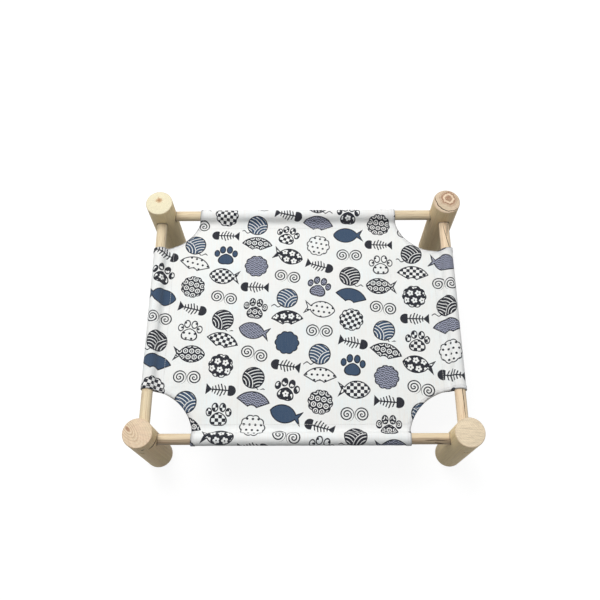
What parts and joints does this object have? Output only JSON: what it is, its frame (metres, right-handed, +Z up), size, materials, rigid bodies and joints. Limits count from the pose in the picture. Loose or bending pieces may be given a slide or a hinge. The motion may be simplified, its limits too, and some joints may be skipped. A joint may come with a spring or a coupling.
{
  "type": "cat cot",
  "caption": "Raised pet cot: a canvas sling with sleeves on all sides, on round wooden rails that plug into four round posts.",
  "frame": {"origin": "on the floor, under the middle of the cot", "axes": "+X along the long rails, towards the cot's right; +Y towards its back; +Z up"},
  "size_m": [0.5, 0.41, 0.155],
  "materials": {
    "post_wood": "sanded, unvarnished fir",
    "rail_wood": "sanded, unvarnished dowel",
    "canvas": "plain-woven cotton canvas",
    "zinc": "zinc-plated steel"
  },
  "bodies": {
    "root": {"post_front_left": "post_wood", "post_front_right": "post_wood", "post_back_left": "post_wood", "post_back_right": "post_wood", "rail_front": "rail_wood", "rail_back": "rail_wood", "rail_left": "rail_wood", "rail_right": "rail_wood", "sling": "canvas", "screw_front_left_long_rail": "zinc", "screw_front_left_short_rail": "zinc", "screw_front_right_long_rail": "zinc", "screw_front_right_short_rail": "zinc", "screw_back_left_long_rail": "zinc", "screw_back_left_short_rail": "zinc", "screw_back_right_long_rail": "zinc", "screw_back_right_short_rail": "zinc"}
  },
  "joints": []
}
